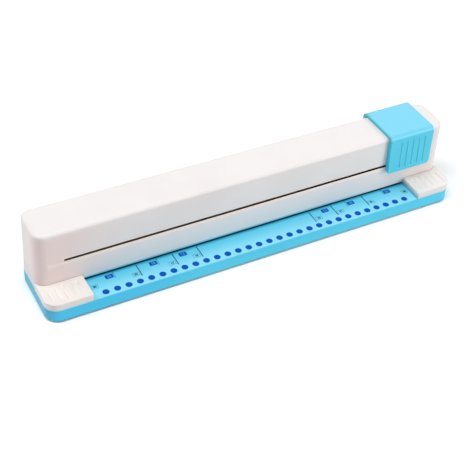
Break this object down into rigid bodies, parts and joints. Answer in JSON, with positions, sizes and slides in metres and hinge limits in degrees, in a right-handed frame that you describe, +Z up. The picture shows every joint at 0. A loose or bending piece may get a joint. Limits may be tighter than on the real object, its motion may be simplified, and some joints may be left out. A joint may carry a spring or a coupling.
{
  "type": "thirty-hole paper punch",
  "caption": "Long desk punch with a sliding saddle that presses a row of sprung pins through a sheet laid on its ruled front ledge.",
  "frame": {"origin": "bottom centre of the overall box, on the desk", "axes": "+X right along the length, +Y to the rear, +Z up; the ruled ledge faces -Y"},
  "size_m": [0.3708, 0.0648, 0.0694],
  "materials": {
    "blue_base": "satin sky-blue ABS",
    "blue_slider": "satin sky-blue ABS",
    "white_shell": "satin warm white ABS",
    "white_pad": "satin warm white ABS",
    "rubber": "matt black rubber",
    "steel": "zinc-plated sheet steel",
    "screw_steel": "zinc-plated screws",
    "pin_steel": "ground hardened steel",
    "wheel_steel": "turned steel",
    "spring_steel": "bright spring wire",
    "zinc": "die-cast zinc"
  },
  "bodies": {
    "body": {"base_shell": "blue_base", "bottom_plate": "blue_base", "rubber_feet": "rubber", "bottom_screws": "screw_steel", "die_plate": "steel", "die_screws": "screw_steel", "paper_stop": "steel", "stop_screws": "screw_steel", "pin_guide_channel": "steel", "pin_guide_cover": "steel", "guide_screws": "screw_steel", "right_end_frame": "zinc", "left_end_frame": "zinc", "frame_screws": "screw_steel", "top_rail": "steel", "rail_screws": "screw_steel", "end_bumpers": "rubber", "housing_shell": "white_shell", "housing_screws": "screw_steel", "right_hold_pad": "white_pad", "left_hold_pad": "white_pad", "return_springs": "spring_steel"},
    "slider": {"slider_cap": "blue_slider", "carriage_frame": "steel", "carriage_axles": "steel"},
    "press_wheel": {"press_wheel": "wheel_steel"},
    "left_rail_roller": {"left_rail_roller": "wheel_steel"},
    "right_rail_roller": {"right_rail_roller": "wheel_steel"},
    "chip_drawer": {"chip_drawer": "blue_base"},
    "punch_pin_01": {"punch_pin_01": "pin_steel"},
    "punch_pin_02": {"punch_pin_02": "pin_steel"},
    "punch_pin_03": {"punch_pin_03": "pin_steel"},
    "punch_pin_04": {"punch_pin_04": "pin_steel"},
    "punch_pin_05": {"punch_pin_05": "pin_steel"},
    "punch_pin_06": {"punch_pin_06": "pin_steel"},
    "punch_pin_07": {"punch_pin_07": "pin_steel"},
    "punch_pin_08": {"punch_pin_08": "pin_steel"},
    "punch_pin_09": {"punch_pin_09": "pin_steel"},
    "punch_pin_10": {"punch_pin_10": "pin_steel"},
    "punch_pin_11": {"punch_pin_11": "pin_steel"},
    "punch_pin_12": {"punch_pin_12": "pin_steel"},
    "punch_pin_13": {"punch_pin_13": "pin_steel"},
    "punch_pin_14": {"punch_pin_14": "pin_steel"},
    "punch_pin_15": {"punch_pin_15": "pin_steel"},
    "punch_pin_16": {"punch_pin_16": "pin_steel"},
    "punch_pin_17": {"punch_pin_17": "pin_steel"},
    "punch_pin_18": {"punch_pin_18": "pin_steel"},
    "punch_pin_19": {"punch_pin_19": "pin_steel"},
    "punch_pin_20": {"punch_pin_20": "pin_steel"},
    "punch_pin_21": {"punch_pin_21": "pin_steel"},
    "punch_pin_22": {"punch_pin_22": "pin_steel"},
    "punch_pin_23": {"punch_pin_23": "pin_steel"},
    "punch_pin_24": {"punch_pin_24": "pin_steel"},
    "punch_pin_25": {"punch_pin_25": "pin_steel"},
    "punch_pin_26": {"punch_pin_26": "pin_steel"},
    "punch_pin_27": {"punch_pin_27": "pin_steel"},
    "punch_pin_28": {"punch_pin_28": "pin_steel"},
    "punch_pin_29": {"punch_pin_29": "pin_steel"},
    "punch_pin_30": {"punch_pin_30": "pin_steel"}
  },
  "joints": [
    {"name": "slider_travel", "type": "slide", "parent": "body", "child": "slider", "axis": [-1, 0, 0], "range_m": [0, 0.2963]},
    {"name": "press_wheel_spin", "type": "hinge", "parent": "slider", "child": "press_wheel", "pos_m": [0.14815, 0.00935, 0.044], "axis": [0, 1, 0], "range_deg": [-2613, 0]},
    {"name": "left_roller_spin", "type": "hinge", "parent": "slider", "child": "left_rail_roller", "pos_m": [0.13965, 0.00935, 0.0537], "axis": [0, 1, 0], "range_deg": [0, 4246]},
    {"name": "right_roller_spin", "type": "hinge", "parent": "slider", "child": "right_rail_roller", "pos_m": [0.15665, 0.00935, 0.0537], "axis": [0, 1, 0], "range_deg": [0, 4246]},
    {"name": "chip_drawer_slide", "type": "slide", "parent": "body", "child": "chip_drawer", "axis": [1, 0, 0], "range_m": [0, 0.25]},
    {"name": "punch_pin_01_press", "type": "slide", "parent": "body", "child": "punch_pin_01", "axis": [0, 0, -1], "range_m": [0, 0.0044], "stiffness_N_per_m": 500, "springref_m": -0.005, "deforming": ["return_springs"]},
    {"name": "punch_pin_02_press", "type": "slide", "parent": "body", "child": "punch_pin_02", "axis": [0, 0, -1], "range_m": [0, 0.0044], "stiffness_N_per_m": 500, "springref_m": -0.005, "deforming": ["return_springs"]},
    {"name": "punch_pin_03_press", "type": "slide", "parent": "body", "child": "punch_pin_03", "axis": [0, 0, -1], "range_m": [0, 0.0044], "stiffness_N_per_m": 500, "springref_m": -0.005, "deforming": ["return_springs"]},
    {"name": "punch_pin_04_press", "type": "slide", "parent": "body", "child": "punch_pin_04", "axis": [0, 0, -1], "range_m": [0, 0.0044], "stiffness_N_per_m": 500, "springref_m": -0.005, "deforming": ["return_springs"]},
    {"name": "punch_pin_05_press", "type": "slide", "parent": "body", "child": "punch_pin_05", "axis": [0, 0, -1], "range_m": [0, 0.0044], "stiffness_N_per_m": 500, "springref_m": -0.005, "deforming": ["return_springs"]},
    {"name": "punch_pin_06_press", "type": "slide", "parent": "body", "child": "punch_pin_06", "axis": [0, 0, -1], "range_m": [0, 0.0044], "stiffness_N_per_m": 500, "springref_m": -0.005, "deforming": ["return_springs"]},
    {"name": "punch_pin_07_press", "type": "slide", "parent": "body", "child": "punch_pin_07", "axis": [0, 0, -1], "range_m": [0, 0.0044], "stiffness_N_per_m": 500, "springref_m": -0.005, "deforming": ["return_springs"]},
    {"name": "punch_pin_08_press", "type": "slide", "parent": "body", "child": "punch_pin_08", "axis": [0, 0, -1], "range_m": [0, 0.0044], "stiffness_N_per_m": 500, "springref_m": -0.005, "deforming": ["return_springs"]},
    {"name": "punch_pin_09_press", "type": "slide", "parent": "body", "child": "punch_pin_09", "axis": [0, 0, -1], "range_m": [0, 0.0044], "stiffness_N_per_m": 500, "springref_m": -0.005, "deforming": ["return_springs"]},
    {"name": "punch_pin_10_press", "type": "slide", "parent": "body", "child": "punch_pin_10", "axis": [0, 0, -1], "range_m": [0, 0.0044], "stiffness_N_per_m": 500, "springref_m": -0.005, "deforming": ["return_springs"]},
    {"name": "punch_pin_11_press", "type": "slide", "parent": "body", "child": "punch_pin_11", "axis": [0, 0, -1], "range_m": [0, 0.0044], "stiffness_N_per_m": 500, "springref_m": -0.005, "deforming": ["return_springs"]},
    {"name": "punch_pin_12_press", "type": "slide", "parent": "body", "child": "punch_pin_12", "axis": [0, 0, -1], "range_m": [0, 0.0044], "stiffness_N_per_m": 500, "springref_m": -0.005, "deforming": ["return_springs"]},
    {"name": "punch_pin_13_press", "type": "slide", "parent": "body", "child": "punch_pin_13", "axis": [0, 0, -1], "range_m": [0, 0.0044], "stiffness_N_per_m": 500, "springref_m": -0.005, "deforming": ["return_springs"]},
    {"name": "punch_pin_14_press", "type": "slide", "parent": "body", "child": "punch_pin_14", "axis": [0, 0, -1], "range_m": [0, 0.0044], "stiffness_N_per_m": 500, "springref_m": -0.005, "deforming": ["return_springs"]},
    {"name": "punch_pin_15_press", "type": "slide", "parent": "body", "child": "punch_pin_15", "axis": [0, 0, -1], "range_m": [0, 0.0044], "stiffness_N_per_m": 500, "springref_m": -0.005, "deforming": ["return_springs"]},
    {"name": "punch_pin_16_press", "type": "slide", "parent": "body", "child": "punch_pin_16", "axis": [0, 0, -1], "range_m": [0, 0.0044], "stiffness_N_per_m": 500, "springref_m": -0.005, "deforming": ["return_springs"]},
    {"name": "punch_pin_17_press", "type": "slide", "parent": "body", "child": "punch_pin_17", "axis": [0, 0, -1], "range_m": [0, 0.0044], "stiffness_N_per_m": 500, "springref_m": -0.005, "deforming": ["return_springs"]},
    {"name": "punch_pin_18_press", "type": "slide", "parent": "body", "child": "punch_pin_18", "axis": [0, 0, -1], "range_m": [0, 0.0044], "stiffness_N_per_m": 500, "springref_m": -0.005, "deforming": ["return_springs"]},
    {"name": "punch_pin_19_press", "type": "slide", "parent": "body", "child": "punch_pin_19", "axis": [0, 0, -1], "range_m": [0, 0.0044], "stiffness_N_per_m": 500, "springref_m": -0.005, "deforming": ["return_springs"]},
    {"name": "punch_pin_20_press", "type": "slide", "parent": "body", "child": "punch_pin_20", "axis": [0, 0, -1], "range_m": [0, 0.0044], "stiffness_N_per_m": 500, "springref_m": -0.005, "deforming": ["return_springs"]},
    {"name": "punch_pin_21_press", "type": "slide", "parent": "body", "child": "punch_pin_21", "axis": [0, 0, -1], "range_m": [0, 0.0044], "stiffness_N_per_m": 500, "springref_m": -0.005, "deforming": ["return_springs"]},
    {"name": "punch_pin_22_press", "type": "slide", "parent": "body", "child": "punch_pin_22", "axis": [0, 0, -1], "range_m": [0, 0.0044], "stiffness_N_per_m": 500, "springref_m": -0.005, "deforming": ["return_springs"]},
    {"name": "punch_pin_23_press", "type": "slide", "parent": "body", "child": "punch_pin_23", "axis": [0, 0, -1], "range_m": [0, 0.0044], "stiffness_N_per_m": 500, "springref_m": -0.005, "deforming": ["return_springs"]},
    {"name": "punch_pin_24_press", "type": "slide", "parent": "body", "child": "punch_pin_24", "axis": [0, 0, -1], "range_m": [0, 0.0044], "stiffness_N_per_m": 500, "springref_m": -0.005, "deforming": ["return_springs"]},
    {"name": "punch_pin_25_press", "type": "slide", "parent": "body", "child": "punch_pin_25", "axis": [0, 0, -1], "range_m": [0, 0.0044], "stiffness_N_per_m": 500, "springref_m": -0.005, "deforming": ["return_springs"]},
    {"name": "punch_pin_26_press", "type": "slide", "parent": "body", "child": "punch_pin_26", "axis": [0, 0, -1], "range_m": [0, 0.0044], "stiffness_N_per_m": 500, "springref_m": -0.005, "deforming": ["return_springs"]},
    {"name": "punch_pin_27_press", "type": "slide", "parent": "body", "child": "punch_pin_27", "axis": [0, 0, -1], "range_m": [0, 0.0044], "stiffness_N_per_m": 500, "springref_m": -0.005, "deforming": ["return_springs"]},
    {"name": "punch_pin_28_press", "type": "slide", "parent": "body", "child": "punch_pin_28", "axis": [0, 0, -1], "range_m": [0, 0.0044], "stiffness_N_per_m": 500, "springref_m": -0.005, "deforming": ["return_springs"]},
    {"name": "punch_pin_29_press", "type": "slide", "parent": "body", "child": "punch_pin_29", "axis": [0, 0, -1], "range_m": [0, 0.0044], "stiffness_N_per_m": 500, "springref_m": -0.005, "deforming": ["return_springs"]},
    {"name": "punch_pin_30_press", "type": "slide", "parent": "body", "child": "punch_pin_30", "axis": [0, 0, -1], "range_m": [0, 0.0044], "stiffness_N_per_m": 500, "springref_m": -0.005, "deforming": ["return_springs"]}
  ],
  "couplings": [
    {"joint": "press_wheel_spin", "follows": "slider_travel", "rad_per_m": -153.85},
    {"joint": "left_roller_spin", "follows": "slider_travel", "rad_per_m": 250},
    {"joint": "right_roller_spin", "follows": "slider_travel", "rad_per_m": 250}
  ]
}
